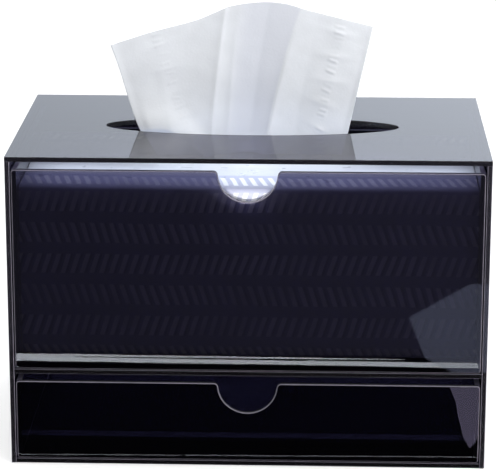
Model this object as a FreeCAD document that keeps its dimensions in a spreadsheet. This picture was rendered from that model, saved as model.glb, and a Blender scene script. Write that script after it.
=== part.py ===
import FreeCAD, Part
import os

import Sketcher

# Tissue box with two drawers, made of smoked acrylic sheet.
# A fixed case of six welded panels holds a tall tissue drawer over a low storage drawer.
# Each drawer is a front with a half-round finger notch, two sides, a back and a floor.
# The tissue drawer carries a soft pack: a film wrap round a stack of tissues. The top sheet
# stands up through the oval slot in the case's top panel.
#
# Frame: millimetres, +Z up, drawers open towards -Y, origin on the table under the case's centre.

# Driving sizes, in millimetres. Each one is set by itself.
SIZES = {
    # case
    "case_width": 216.0,
    "case_depth": 130.0,
    "case_height": 144.0,
    "sheet_thickness": 2.2,
    "shelf_top_height": 45.2,
    "slot_length": 136.6,
    "slot_width": 37.2,
    "edge_round": 0.2,
    "glue_line": 0.05,
    # how the drawers fit the case
    "side_gap": 0.6,
    "running_gap": 0.2,
    "front_gap": 3.6,
    "rear_gap": 1.5,
    # drawers
    "wall_drop": 0.6,
    "notch_radius": 13.3,
    "notch_drop": 0.7,
    "notch_lip_round": 2.2,
    "front_corner_round": 1.5,
    "front_edge_round": 0.5,
    # soft pack, placed in the tissue drawer by its clearances
    "pack_side_gap": 0.5,
    "pack_front_gap": 5.8,
    "pack_rear_gap": 14.0,
    "pack_headroom": 13.2,
    "pack_round": 7.0,
    "film_thickness": 0.4,
    "mouth_length": 110.0,
    "mouth_width": 16.0,
    "soft_gap": 0.3,
    # the sheet that stands up through the slot
    "tissue_solid_thickness": 1.6,
    "tissue_setback": 2.0,
    "tissue_clear_left": 17.1,
    "tissue_clear_right": 23.1,
    "tissue_spread_left": 14.1,
    "tissue_spread_right": 10.4,
    "tissue_rise_left": 39.3,
    "tissue_rise_right": 47.7,
    "tissue_top_radius": 135.0,
}

NEAR = 0.001

doc = FreeCAD.newDocument("tissue_box")

sheet = doc.addObject("Spreadsheet::Sheet", "Sizes")
for row, (alias, value) in enumerate(SIZES.items(), start=1):
    sheet.set(f"A{row}", alias)
    sheet.set(f"B{row}", str(value))
    sheet.setAlias(f"B{row}", alias)
doc.recompute()


def sized(text):
    """The expression with every size's alias pointed at the spreadsheet."""
    words = []
    for word in text.replace("(", " ( ").replace(")", " ) ").split():
        words.append(f"Sizes.{word}" if word in SIZES else word)
    return " ".join(words)


# Worked-out sizes and places, as expressions on the driving ones.
INNER_WIDTH = "(case_width - 2 * sheet_thickness)"
WELDED_WIDTH = f"({INNER_WIDTH} - 2 * glue_line)"
WELDED_DEPTH = "(case_depth - sheet_thickness - glue_line)"
WALL_HEIGHT = "(case_height - sheet_thickness - glue_line)"
SHELF_UNDERSIDE = "(shelf_top_height - sheet_thickness)"
TOP_UNDERSIDE = "(case_height - sheet_thickness)"
DRAWER_WIDTH = f"({INNER_WIDTH} - 2 * side_gap)"
DRAWER_DEPTH = "(case_depth - sheet_thickness - rear_gap)"
FRONT_PLANE = "(0 - case_depth / 2)"
STORAGE_BASE = "(sheet_thickness + running_gap)"
TISSUE_BASE = "(shelf_top_height + running_gap)"
STORAGE_FRONT_HEIGHT = f"({SHELF_UNDERSIDE} - front_gap - {STORAGE_BASE})"
TISSUE_FRONT_HEIGHT = f"({TOP_UNDERSIDE} - front_gap - {TISSUE_BASE})"
PACK_LENGTH = f"({DRAWER_WIDTH} - 2 * sheet_thickness - 2 * pack_side_gap)"
PACK_DEPTH = f"({DRAWER_DEPTH} - 2 * sheet_thickness - pack_front_gap - pack_rear_gap)"
PACK_BASE = f"({TISSUE_BASE} + sheet_thickness + soft_gap)"
PACK_TOP = f"({TOP_UNDERSIDE} - pack_headroom)"
PACK_HEIGHT = f"({PACK_TOP} - {PACK_BASE})"
PACK_MIDDLE = f"({FRONT_PLANE} + sheet_thickness + pack_front_gap + {PACK_DEPTH} / 2)"


def bind(thing, prop, text):
    thing.setExpression(prop, sized(text))


def put(thing, across, back, up):
    """Places an object's own origin in the case's frame."""
    bind(thing, "Placement.Base.x", across)
    bind(thing, "Placement.Base.y", back)
    bind(thing, "Placement.Base.z", up)


def new_body(label):
    body = doc.addObject("PartDesign::Body", label)
    body.Label = label
    return body


def new_sketch(body, role, name):
    """A sketch on one of the body's own origin planes."""
    plane = next(f for f in body.Origin.OriginFeatures if f.Role == role)
    sketch = body.newObject("Sketcher::SketchObject", name)
    sketch.AttachmentSupport = [(plane, "")]
    sketch.MapMode = "FlatFace"
    return sketch


def constrain(sketch, text, *terms):
    """Adds one sketch constraint, bound to an expression when text is given."""
    index = sketch.addConstraint(Sketcher.Constraint(*terms))
    if text is not None:
        bind(sketch, f"Constraints[{index}]", text)


def draw_rectangle(sketch, wide, tall):
    """A rectangle centred on the sketch's origin."""
    corners = [(-10, -10), (10, -10), (10, 10), (-10, 10)]
    points = [FreeCAD.Vector(a, b, 0) for a, b in corners]
    for i in range(4):
        sketch.addGeometry(Part.LineSegment(points[i], points[(i + 1) % 4]), False)
    for i in range(4):
        constrain(sketch, None, "Coincident", i, 2, (i + 1) % 4, 1)
    for i in range(4):
        constrain(sketch, None, "Vertical" if i % 2 else "Horizontal", i)
    constrain(sketch, None, "Symmetric", 0, 1, 1, 2, -1, 1)
    constrain(sketch, wide, "DistanceX", 0, 1, 0, 2, 20)
    constrain(sketch, tall, "DistanceY", 1, 1, 1, 2, 20)


def draw_ellipse(sketch, length, width):
    """An ellipse on the sketch's origin, its long axis level."""
    middle = FreeCAD.Vector(0, 0, 0)
    sketch.addGeometry(Part.Ellipse(FreeCAD.Vector(30, 0, 0), FreeCAD.Vector(0, 8, 0), middle), False)
    sketch.exposeInternalGeometry(0)
    constrain(sketch, None, "Coincident", 0, 3, -1, 1)
    constrain(sketch, None, "Horizontal", 1)
    constrain(sketch, length, "Distance", 1, 60)
    constrain(sketch, width, "Distance", 2, 16)


def pad(body, sketch, thick):
    """Thickens a sketch equally to both sides of its plane."""
    feature = body.newObject("PartDesign::Pad", body.Label + "_pad")
    feature.Profile = sketch
    feature.SideType = "Symmetric"
    bind(feature, "Length", thick)
    sketch.Visibility = False
    return feature


def cut_through(body, sketch, name):
    """Cuts a sketch right through the body, and makes sure that it did."""
    doc.recompute()
    before = body.Shape.Volume
    feature = body.newObject("PartDesign::Pocket", name)
    feature.Profile = sketch
    feature.Type = "ThroughAll"
    feature.SideType = "Symmetric"
    doc.recompute()
    if not body.Shape.Volume < before - 1:
        raise RuntimeError(f"{name} cut nothing")


def flat_on(edge, box, side):
    """True if the edge lies in the named side of the box, such as "-y"."""
    axis = side[1].upper()
    low, high = (getattr(edge.BoundBox, axis + end) for end in ("Min", "Max"))
    if side[0] == "-":
        return high < getattr(box, axis + "Min") + NEAR
    return low > getattr(box, axis + "Max") - NEAR


def round_edges(body, name, radius, wanted):
    """Rounds the edges for which wanted(edge, box) is true."""
    doc.recompute()
    base = body.Tip
    box = base.Shape.BoundBox
    names = [f"Edge{i}" for i, edge in enumerate(base.Shape.Edges, start=1) if wanted(edge, box)]
    if not names:
        raise RuntimeError(f"{name} found no edge to round")
    feature = body.newObject("PartDesign::Fillet", name)
    feature.Base = (base, names)
    bind(feature, "Radius", radius)


def panel(label, role, wide, tall, thick="sheet_thickness"):
    """A flat sheet, centred on its own origin and lying in the named plane."""
    body = new_body(label)
    sketch = new_sketch(body, role, label + "_outline")
    draw_rectangle(sketch, wide, tall)
    pad(body, sketch, thick)
    return body


def upright_corner(edge, box):
    """An edge that runs up one of the four corners of the box."""
    sides = flat_on(edge, box, "-x") or flat_on(edge, box, "+x")
    return sides and (flat_on(edge, box, "-y") or flat_on(edge, box, "+y"))


# ---- case ----


def make_top_panel():
    """The top lies over the walls, with the oval slot in its middle and every bare edge eased."""
    body = panel("case_top_panel", "XY_Plane", "case_width", "case_depth")
    slot = new_sketch(body, "XY_Plane", "slot_outline")
    draw_ellipse(slot, "slot_length", "slot_width")
    cut_through(body, slot, "slot")

    def bare(edge, box):
        inside = edge.BoundBox.YMin > box.YMin + 1 and edge.BoundBox.YMax < box.YMax - 1
        under_rim = inside and flat_on(edge, box, "-z")
        return under_rim or flat_on(edge, box, "+z") or flat_on(edge, box, "-y") or upright_corner(edge, box)

    round_edges(body, "top_edges", "edge_round", bare)
    put(body, "0", "0", "case_height - sheet_thickness / 2")
    return body


def make_side_panel(label, side):
    """A side wall; side is -1 for the left one and 1 for the right one."""
    body = panel(label, "YZ_Plane", "case_depth", WALL_HEIGHT)
    outer = "-x" if side < 0 else "+x"

    def bare(edge, box):
        upright = edge.BoundBox.ZLength > box.ZLength / 2
        return upright and (flat_on(edge, box, "-y") or flat_on(edge, box, outer))

    round_edges(body, label + "_edges", "edge_round", bare)
    put(body, f"{side} * (case_width - sheet_thickness) / 2", "0", f"{WALL_HEIGHT} / 2")
    return body


def make_back_panel():
    body = panel("case_back_panel", "XZ_Plane", WELDED_WIDTH, WALL_HEIGHT)
    put(body, "0", "(case_depth - sheet_thickness) / 2", f"{WALL_HEIGHT} / 2")
    return body


def make_level_panel(label, top):
    """The shelf or the floor: between the walls, its front edges eased."""
    body = panel(label, "XY_Plane", WELDED_WIDTH, WELDED_DEPTH)

    def bare(edge, box):
        return flat_on(edge, box, "-y") and edge.BoundBox.XLength > box.XLength / 2

    round_edges(body, label + "_edges", "edge_round", bare)
    put(body, "0", f"{FRONT_PLANE} + {WELDED_DEPTH} / 2", f"{top} - sheet_thickness / 2")
    return body


# ---- drawers ----


def make_front(name, base, height):
    """A drawer front: rounded corners, a half-round notch in its top edge and a soft outer rim."""
    label = name + "_front"
    body = panel(label, "XZ_Plane", DRAWER_WIDTH, height)
    round_edges(body, label + "_corners", "front_corner_round", upright_or_level_corner)
    notch = new_sketch(body, "XZ_Plane", label + "_notch_outline")
    notch.addGeometry(Part.Circle(FreeCAD.Vector(0, 5, 0), FreeCAD.Vector(0, 0, 1), 8), False)
    constrain(notch, "notch_radius", "Radius", 0, 8)
    constrain(notch, None, "PointOnObject", 0, 3, -2)
    constrain(notch, f"{height} / 2 - notch_drop", "DistanceY", -1, 1, 0, 3, 5)
    cut_through(body, notch, label + "_notch")
    round_edges(body, label + "_lips", "notch_lip_round", notch_lip)
    round_edges(body, label + "_rim", "front_edge_round", lambda edge, box: flat_on(edge, box, "-y"))
    put(body, "0", f"{FRONT_PLANE} + sheet_thickness / 2", f"{base} + {height} / 2")
    return body


def upright_or_level_corner(edge, box):
    """A short edge through the sheet at one of the front's four corners."""
    ends = flat_on(edge, box, "-x") or flat_on(edge, box, "+x")
    return ends and (flat_on(edge, box, "-z") or flat_on(edge, box, "+z"))


def notch_lip(edge, box):
    """An edge through the sheet where the notch meets the front's top."""
    return flat_on(edge, box, "+z") and edge.BoundBox.XLength < NEAR and edge.BoundBox.XMax < box.XMax / 2 \
        and edge.BoundBox.XMin > box.XMin / 2


def rail_top(edge, box):
    """A long edge along the top of a side or a back."""
    run = max(edge.BoundBox.XLength, edge.BoundBox.YLength)
    return flat_on(edge, box, "+z") and run > max(box.XLength, box.YLength) / 2


def make_drawer(name, base, front_height, back_height):
    """Front, floor, sides and back of one drawer, whose underside is at base."""
    carcass_depth = f"({DRAWER_DEPTH} - sheet_thickness - glue_line)"
    carcass_middle = f"({FRONT_PLANE} + sheet_thickness + glue_line + {carcass_depth} / 2)"
    wall_base = f"({base} + sheet_thickness + glue_line)"
    wall = f"({front_height} - wall_drop - sheet_thickness - glue_line)"
    back_wall = f"({back_height} - sheet_thickness - glue_line)"
    back_width = f"({DRAWER_WIDTH} - 2 * sheet_thickness - 2 * glue_line)"
    back_place = f"({FRONT_PLANE} + {DRAWER_DEPTH} - sheet_thickness / 2)"

    front = make_front(name, base, front_height)

    floor = panel(name + "_floor", "XY_Plane", DRAWER_WIDTH, carcass_depth)
    put(floor, "0", carcass_middle, f"{base} + sheet_thickness / 2")

    sides = []
    for word, side in (("left", -1), ("right", 1)):
        body = panel(f"{name}_{word}", "YZ_Plane", carcass_depth, wall)
        round_edges(body, f"{name}_{word}_rail", "edge_round", rail_top)
        across = f"{side} * ({DRAWER_WIDTH} - sheet_thickness) / 2"
        put(body, across, carcass_middle, f"{wall_base} + {wall} / 2")
        sides.append(body)

    back = panel(name + "_back", "XZ_Plane", back_width, back_wall)
    round_edges(back, name + "_back_rail", "edge_round", rail_top)
    put(back, "0", back_place, f"{wall_base} + {back_wall} / 2")
    return [front, floor, *sides, back]


# ---- soft pack and the sheet that stands up ----


def rounded_block(label, wide, deep, tall, radius):
    """A block centred on its own origin with every edge rounded."""
    body = panel(label, "XY_Plane", wide, deep, tall)
    round_edges(body, label + "_edges", radius, lambda edge, box: True)
    put(body, "0", PACK_MIDDLE, f"{PACK_BASE} + {PACK_HEIGHT} / 2")
    return body


def make_pack_wrap():
    """The film: a rounded block, hollow, with a narrow oval mouth in its top."""
    outer = rounded_block("wrap_outside", PACK_LENGTH, PACK_DEPTH, PACK_HEIGHT, "pack_round")
    trim = "2 * film_thickness"
    inner = rounded_block("wrap_inside", f"{PACK_LENGTH} - {trim}", f"{PACK_DEPTH} - {trim}",
                          f"{PACK_HEIGHT} - {trim}", "pack_round - film_thickness")
    mouth = new_body("wrap_mouth")
    outline = new_sketch(mouth, "XY_Plane", "mouth_outline")
    draw_ellipse(outline, "mouth_length", "mouth_width")
    pad(mouth, outline, "pack_round")
    put(mouth, "0", "0 - tissue_setback", PACK_TOP)

    hollow = doc.addObject("Part::Cut", "wrap_hollow")
    hollow.Base = outer
    hollow.Tool = inner
    wrap = doc.addObject("Part::Cut", "pack_wrap")
    wrap.Label = "pack_wrap"
    wrap.Base = hollow
    wrap.Tool = mouth
    return wrap


def make_tissue_stack():
    """The folded tissues inside the film, clear of it all round."""
    trim = "2 * (film_thickness + soft_gap)"
    return rounded_block("tissue_stack", f"{PACK_LENGTH} - {trim}", f"{PACK_DEPTH} - {trim}",
                         f"{PACK_HEIGHT} - {trim}", "pack_round - film_thickness - soft_gap")


def make_tissue_sheet():
    """The top tissue: a thin fan from just over the pack, through the slot, to a curved upper edge."""
    body = new_body("tissue_sheet")
    outline = new_sketch(body, "XZ_Plane", "tissue_outline")
    # sketch origin at the slot's centre, level with the case's top
    left_foot, right_foot = FreeCAD.Vector(-45, -15, 0), FreeCAD.Vector(42, -15, 0)
    left_tip, right_tip = FreeCAD.Vector(-65, 39, 0), FreeCAD.Vector(55, 47, 0)
    outline.addGeometry(Part.LineSegment(right_foot, left_foot), False)
    outline.addGeometry(Part.LineSegment(left_foot, left_tip), False)
    outline.addGeometry(Part.LineSegment(right_tip, right_foot), False)
    crown = FreeCAD.Vector(0, 58, 0)
    outline.addGeometry(Part.Arc(right_tip, crown, left_tip), False)
    constrain(outline, None, "Coincident", 0, 2, 1, 1)
    constrain(outline, None, "Coincident", 2, 2, 0, 1)
    constrain(outline, None, "Coincident", 3, 1, 2, 1)
    constrain(outline, None, "Coincident", 3, 2, 1, 2)

    drop = f"(case_height - {PACK_TOP} - soft_gap)"
    left_slot = "(slot_length / 2 - tissue_clear_left)"
    right_slot = "(slot_length / 2 - tissue_clear_right)"
    left_low = f"{left_slot} - tissue_spread_left / tissue_rise_left * {drop}"
    right_low = f"{right_slot} - tissue_spread_right / tissue_rise_right * {drop}"
    constrain(outline, left_low, "DistanceX", 1, 1, -1, 1, 45)
    constrain(outline, drop, "DistanceY", 1, 1, -1, 1, 15)
    constrain(outline, right_low, "DistanceX", -1, 1, 2, 2, 42)
    constrain(outline, drop, "DistanceY", 2, 2, -1, 1, 15)
    constrain(outline, f"{left_slot} + tissue_spread_left", "DistanceX", 1, 2, -1, 1, 65)
    constrain(outline, "tissue_rise_left", "DistanceY", -1, 1, 1, 2, 39)
    constrain(outline, f"{right_slot} + tissue_spread_right", "DistanceX", -1, 1, 2, 1, 55)
    constrain(outline, "tissue_rise_right", "DistanceY", -1, 1, 2, 1, 47)
    constrain(outline, "tissue_top_radius", "Radius", 3, 135)

    pad(body, outline, "tissue_solid_thickness")
    put(body, "0", "0 - tissue_setback", "case_height")
    return body


nodes = [
    make_top_panel(),
    make_side_panel("case_left_panel", -1),
    make_side_panel("case_right_panel", 1),
    make_back_panel(),
    make_level_panel("case_middle_shelf", "shelf_top_height"),
    make_level_panel("case_floor_panel", "sheet_thickness"),
]
# The tissue drawer's back is as high as the pack, so that the drawer slides out under the standing sheet.
nodes += make_drawer("tissue_drawer", TISSUE_BASE, TISSUE_FRONT_HEIGHT, f"({PACK_TOP} - {TISSUE_BASE})")
nodes += make_drawer("storage_drawer", STORAGE_BASE, STORAGE_FRONT_HEIGHT,
                     f"({STORAGE_FRONT_HEIGHT} - wall_drop)")
nodes += [make_pack_wrap(), make_tissue_stack(), make_tissue_sheet()]

doc.recompute()

for thing in doc.Objects:
    if "Invalid" in thing.State or "Error" in thing.State:
        raise RuntimeError(f"{thing.Name} failed: {thing.State}")
for node in nodes:
    if node.Shape.isNull() or not node.Shape.isValid() or len(node.Shape.Solids) != 1:
        raise RuntimeError(f"{node.Label} is not one valid solid")

os.makedirs("parts", exist_ok=True)
for node in nodes:
    node.Shape.exportStep(os.path.join("parts", node.Label + ".step"))
    box = node.Shape.BoundBox
    print(f"{node.Label:24} x {box.XMin:8.2f} {box.XMax:8.2f}  y {box.YMin:7.2f} {box.YMax:7.2f}"
          f"  z {box.ZMin:7.2f} {box.ZMax:7.2f}  volume {node.Shape.Volume:10.1f}")
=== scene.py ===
# %% [markdown]
# # A smoked acrylic tissue box with two drawers
#
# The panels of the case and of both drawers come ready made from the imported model, at their
# real size. This lesson gives them their material, builds the soft things that sit in the
# upper drawer (the film pack, its folded tissues and the sheet that stands up through the
# slot) and lights the lot on a pale table.

# %% Load the fixed frame
import math
import random

import bmesh
import bpy
import numpy as np
from mathutils import Matrix, Vector, noise


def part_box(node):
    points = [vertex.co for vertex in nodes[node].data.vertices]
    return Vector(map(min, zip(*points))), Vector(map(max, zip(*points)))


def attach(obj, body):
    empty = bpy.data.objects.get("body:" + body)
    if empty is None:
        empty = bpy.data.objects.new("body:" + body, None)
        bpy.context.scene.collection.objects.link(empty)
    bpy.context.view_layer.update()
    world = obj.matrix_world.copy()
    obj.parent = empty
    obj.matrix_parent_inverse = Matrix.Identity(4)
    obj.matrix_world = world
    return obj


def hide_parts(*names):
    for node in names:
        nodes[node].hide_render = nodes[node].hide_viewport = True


MM = 0.001

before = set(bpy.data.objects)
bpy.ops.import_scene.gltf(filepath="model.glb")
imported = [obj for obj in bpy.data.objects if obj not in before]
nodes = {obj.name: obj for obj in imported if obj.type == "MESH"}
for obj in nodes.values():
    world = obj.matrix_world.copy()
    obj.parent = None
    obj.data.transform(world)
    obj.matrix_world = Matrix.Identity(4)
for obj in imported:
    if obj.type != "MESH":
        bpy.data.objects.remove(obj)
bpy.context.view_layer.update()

# %% [markdown]
# ## A small language for shader nodes
#
# Node trees are easier to read as sums. `Wire` wraps one output socket and turns Python's
# operators into Math nodes. `Graph.node` makes any other node: settings first, then the
# values or wires of its sockets.

# %% Wires and graphs


class Wire:
    """One output socket, on which Python's operators add Math nodes."""

    def __init__(self, graph, socket):
        self.graph = graph
        self.socket = socket

    def maths(self, operation, *others):
        made = self.graph.node("ShaderNodeMath", {}, operation=operation)
        for place, value in enumerate((self, *others)):
            self.graph.feed(made.socket.node.inputs[place], value)
        return made

    def flipped(self, operation, other):
        made = self.graph.node("ShaderNodeMath", {}, operation=operation)
        self.graph.feed(made.socket.node.inputs[0], other)
        self.graph.feed(made.socket.node.inputs[1], self)
        return made

    def __add__(self, other):
        return self.maths("ADD", other)

    def __sub__(self, other):
        return self.maths("SUBTRACT", other)

    def __mul__(self, other):
        return self.maths("MULTIPLY", other)

    def __truediv__(self, other):
        return self.maths("DIVIDE", other)

    def __rsub__(self, other):
        return self.flipped("SUBTRACT", other)

    def __rtruediv__(self, other):
        return self.flipped("DIVIDE", other)

    __radd__ = __add__
    __rmul__ = __mul__

    def step(self, low, high):
        """0 below low, 1 above high, and a smooth rise between them."""
        return self.graph.node("ShaderNodeMapRange",
                               {"Value": self, "From Min": low, "From Max": high},
                               interpolation_type="SMOOTHSTEP")

    def clip(self):
        return self.maths("MAXIMUM", 0.0).maths("MINIMUM", 1.0)


class Graph:
    """A node tree that starts empty."""

    def __init__(self, tree):
        self.tree = tree
        tree.nodes.clear()

    def feed(self, socket, value):
        if isinstance(value, Wire):
            self.tree.links.new(value.socket, socket)
        else:
            socket.default_value = value

    def node(self, kind, sockets, output=0, **settings):
        made = self.tree.nodes.new(kind)
        for name, value in settings.items():
            setattr(made, name, value)
        for name, value in sockets.items():
            self.feed(made.inputs[name], value)
        if not made.outputs:
            return made
        return Wire(self, made.outputs[output])

    def mix(self, share, low, high):
        """A colour between low and high."""
        made = self.node("ShaderNodeMix", {}, data_type="RGBA").socket.node
        colours = [s for s in made.inputs if s.type == "RGBA"]
        self.feed(made.inputs["Factor"], share)
        self.feed(colours[0], low)
        self.feed(colours[1], high)
        return Wire(self, next(s for s in made.outputs if s.type == "RGBA"))

    def parts(self, vector):
        """The x, y and z wires of a vector wire."""
        split = self.node("ShaderNodeSeparateXYZ", {"Vector": vector}).socket.node
        return [Wire(self, s) for s in split.outputs]

    def noise(self, where, scale, detail=2.0):
        return self.node("ShaderNodeTexNoise", {"Vector": where, "Scale": scale, "Detail": detail})


def new_material(name):
    made = bpy.data.materials.new(name)
    made.use_nodes = True
    return made, Graph(made.node_tree)


def finish_material(graph, surface, volume=None):
    sockets = {"Surface": surface}
    if volume is not None:
        sockets["Volume"] = volume
    graph.node("ShaderNodeOutputMaterial", sockets)


print("shader language ready")

# %% [markdown]
# ## Smoked acrylic
#
# The sheet is clear plastic dyed blue-black right through. So its surface is a plain polished
# dielectric and the colour is in the volume: light fades with every millimetre it travels.
# One pass through a face leaves about a seventh of it, and the long way in from an edge leaves
# nothing, which is why the edges look black. The eased corners round each face were rubbed and
# flame polished by hand, so they stay a little milky, and their pale coat is also a painted
# highlight for the light they catch, which draws them as thin pale lines. A corner is wherever the
# normal points neither along the sheet's thickness nor square to it, so there is one material for
# each way a sheet can stand, and each has its own strength of painted highlight: most on the
# upright side walls, less on the fronts and backs, least on the flat panels. Corners that face down
# get less of the pale coat, and so do the corners of the top panel. Cut edges keep a trace of haze
# with a little painted highlight as well, and cut edges that face up, such as the upper edges of
# the drawers' walls, get much more painted highlight, most of all on the side walls.
# Cast sheet is never quite flat, so a faint, wide bump makes reflections waver.

# %% Acrylic colours
SHEET_THICKNESS = 2.2 * MM
THROUGH_ONE_SHEET = (0.150, 0.142, 0.215)
ABSORPTION_DENSITY = 1000.0
ACRYLIC_IOR = 1.49
# Pale rim colours and shares: partly the satin of hand-rubbed acrylic, partly a painted highlight
# for the light the rims catch, set per sheet direction.
SATIN_HIGHLIGHT_DARK = (0.07, 0.065, 0.085, 1)
SATIN_HIGHLIGHT_PALE = (0.15, 0.14, 0.17, 1)
SATIN_HIGHLIGHT_GAIN = (3.4, 1.9, 1.4)
SATIN_HIGHLIGHT_SHARE = 0.75
SATIN_HIGHLIGHT_SHARE_BELOW = 0.22
SATIN_HIGHLIGHT_SHARE_TOP = 0.25
# Cut edges: a trace of haze plus painted highlight; cut edges facing up get much more painted
# highlight, most on upright side walls.
EDGE_HAZE_HIGHLIGHT = 0.04
UPWARD_EDGE_HIGHLIGHT = (0.7, 0.15, 0.04)


def absorption_colour():
    """The colour that makes a Volume Absorption node dye one sheet as wished."""
    fades = [-math.log(share) / SHEET_THICKNESS for share in THROUGH_ONE_SHEET]
    return [1 - fade / ABSORPTION_DENSITY for fade in fades] + [1.0]


def brighter(colour, gain):
    return tuple(min(1.0, part * gain) for part in colour[:3]) + (1,)


print("dye:", [round(part, 3) for part in absorption_colour()])

# %% Acrylic material
TOP_PANEL_FROM = 141 * MM
# Shares of the normal along the sheet's thickness: where a cut edge ends, and where an eased
# corner begins and ends. Then how far the normal must point down or up to count as doing so.
CUT_ENDS = (0.02, 0.06)
CORNER_BEGINS, CORNER_ENDS = (0.04, 0.16), (0.975, 0.998)
FACING_DOWN, FACING_UP = (0.2, 0.6), (0.8, 0.95)
SWELL_SCALE, SWELL_STRENGTH, SWELL_DEPTH = 9.0, 0.012, 2 * MM
SCUFF_SCALE = 260.0
EASED_ROUGHNESS, SCUFF_ROUGHNESS = 0.3, 0.2


def make_acrylic(axis):
    """Dyed sheet whose thickness lies along the given axis: 0, 1 or 2 for x, y or z."""
    material, g = new_material("smoked_acrylic_" + "xyz"[axis])
    place = g.node("ShaderNodeTexCoord", {}, output="Object")
    swell = g.noise(place, SWELL_SCALE, detail=0.0)
    ripple = g.node("ShaderNodeBump", {"Height": swell, "Strength": SWELL_STRENGTH,
                                       "Distance": SWELL_DEPTH})
    clear = g.node("ShaderNodeBsdfPrincipled", {
        "Base Color": (1, 1, 1, 1),
        "Roughness": 0.0,
        "IOR": ACRYLIC_IOR,
        "Transmission Weight": 1.0,
        "Normal": ripple,
    })
    normal = g.node("ShaderNodeNewGeometry", {}, output="Normal")
    faced = g.parts(normal)[axis].maths("ABSOLUTE")
    corner = faced.step(*CORNER_BEGINS) * (1.0 - faced.step(*CORNER_ENDS))
    below = (g.parts(normal)[2] * -1.0).step(*FACING_DOWN)
    height = g.parts(place)[2]
    on_top = height.step(TOP_PANEL_FROM, TOP_PANEL_FROM + MM) if axis == 2 else height * 0.0
    upward = g.parts(normal)[2].step(*FACING_UP)
    # cut edges: a trace of haze plus painted highlight, much more where they face up
    edge_haze_and_highlight = upward * (UPWARD_EDGE_HIGHLIGHT[axis] - EDGE_HAZE_HIGHLIGHT) + EDGE_HAZE_HIGHLIGHT
    cut_haze_and_highlight = (1.0 - faced.step(*CUT_ENDS)) * edge_haze_and_highlight
    # eased corners: satin plus painted highlight, less where they face down and on the top panel
    rubbed_and_highlight = SATIN_HIGHLIGHT_SHARE - below * (SATIN_HIGHLIGHT_SHARE - SATIN_HIGHLIGHT_SHARE_BELOW)
    satin_and_highlight = corner * (rubbed_and_highlight - on_top * (SATIN_HIGHLIGHT_SHARE - SATIN_HIGHLIGHT_SHARE_TOP)).clip() + cut_haze_and_highlight
    scuffs = g.noise(place, SCUFF_SCALE)
    gain = SATIN_HIGHLIGHT_GAIN[axis]
    milky_highlight = g.node("ShaderNodeBsdfPrincipled", {
        "Base Color": g.mix(scuffs, brighter(SATIN_HIGHLIGHT_DARK, gain), brighter(SATIN_HIGHLIGHT_PALE, gain)),
        "Roughness": scuffs * SCUFF_ROUGHNESS + EASED_ROUGHNESS,
        "Specular IOR Level": 0.5,
    })
    surface = g.node("ShaderNodeMixShader", {0: satin_and_highlight, 1: clear, 2: milky_highlight})
    dye = g.node("ShaderNodeVolumeAbsorption",
                 {"Color": absorption_colour(), "Density": ABSORPTION_DENSITY})
    finish_material(g, surface, dye)
    return material


acrylic = [make_acrylic(axis) for axis in range(3)]
print("acrylic materials:", [material.name for material in acrylic])

# %% Acrylic on the panels
SOFT_NODES = {"pack_wrap", "tissue_stack", "tissue_sheet"}


def thinnest_axis(node):
    """The axis along which a panel is thin."""
    low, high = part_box(node)
    return min(range(3), key=lambda axis: high[axis] - low[axis])


for name, panel in nodes.items():
    if name not in SOFT_NODES:
        panel.data.materials.clear()
        panel.data.materials.append(acrylic[thinnest_axis(name)])
print("acrylic panels:", len(nodes) - len(SOFT_NODES))

# %% [markdown]
# ## Meshes from grids
#
# Film and paper are both sheets, so each is a grid of points worked out by a formula. The
# grid keeps its own flat coordinates as a UV map, in metres, and the print and the embossing
# follow them wherever the sheet bends.

# %% Grid helper


def grid_object(name, points, flat):
    """A mesh from points[i][j]; flat[i][j] are the sheet's own coordinates, kept as UVs."""
    rows, columns = points.shape[:2]
    faces = []
    for i in range(rows - 1):
        for j in range(columns - 1):
            a = i * columns + j
            faces.append((a, a + 1, a + columns + 1, a + columns))
    mesh = bpy.data.meshes.new(name)
    mesh.from_pydata(points.reshape(-1, 3).tolist(), [], faces)
    layer = mesh.uv_layers.new(name="flat")
    corners = np.array([loop.vertex_index for loop in mesh.loops])
    layer.data.foreach_set("uv", flat.reshape(-1, 2)[corners].astype(np.float32).ravel())
    mesh.shade_smooth()
    made = bpy.data.objects.new(name, mesh)
    bpy.context.scene.collection.objects.link(made)
    return made


def smoothstep(low, high, value):
    t = np.clip((value - low) / (high - low), 0, 1)
    return t * t * (3 - 2 * t)


SEED_SHIFT = (7.3, 3.1, 5.7)


def wander(points, scale, seed):
    """Smooth noise from -1 to 1 at each point, the same on every run."""
    shift = Vector([seed * part for part in SEED_SHIFT])
    return np.array([noise.noise(Vector(p) * scale + shift) for p in points])


print("grid helper ready")

# %% [markdown]
# ## The film pack
#
# A soft pack is a tube of film round a block of folded tissues, sealed flat at both ends,
# with an oval torn out of its top. Here the tube is one grid: its rows run along the pack,
# and its columns start at the mouth, go back over the top, down, under, up the front and
# return to the mouth. The first and last columns are welded except along the mouth, and
# there they are pushed apart into the oval.

# %% Pack outline
wrap_low, wrap_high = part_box("pack_wrap")
sheet_low, sheet_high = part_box("tissue_sheet")
PACK_MIDDLE_Y = (wrap_low.y + wrap_high.y) / 2
PACK_MIDDLE_Z = (wrap_low.z + wrap_high.z) / 2
SEAL_STANDS_OUT = 0.42 * MM
PACK_HALF_LENGTH = wrap_high.x + SEAL_STANDS_OUT
MOUTH_Y = (sheet_low.y + sheet_high.y) / 2
MOUTH_HALF_LENGTH = 55 * MM
MOUTH_HALF_WIDTH = 8 * MM
TOP_CORNER_RADIUS = 1.6 * MM
BASE_CORNER_RADIUS = 9 * MM
TOP_ARC_POINTS, BASE_ARC_POINTS = 8, 10
GIRTH_STEP = 2.2 * MM


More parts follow.
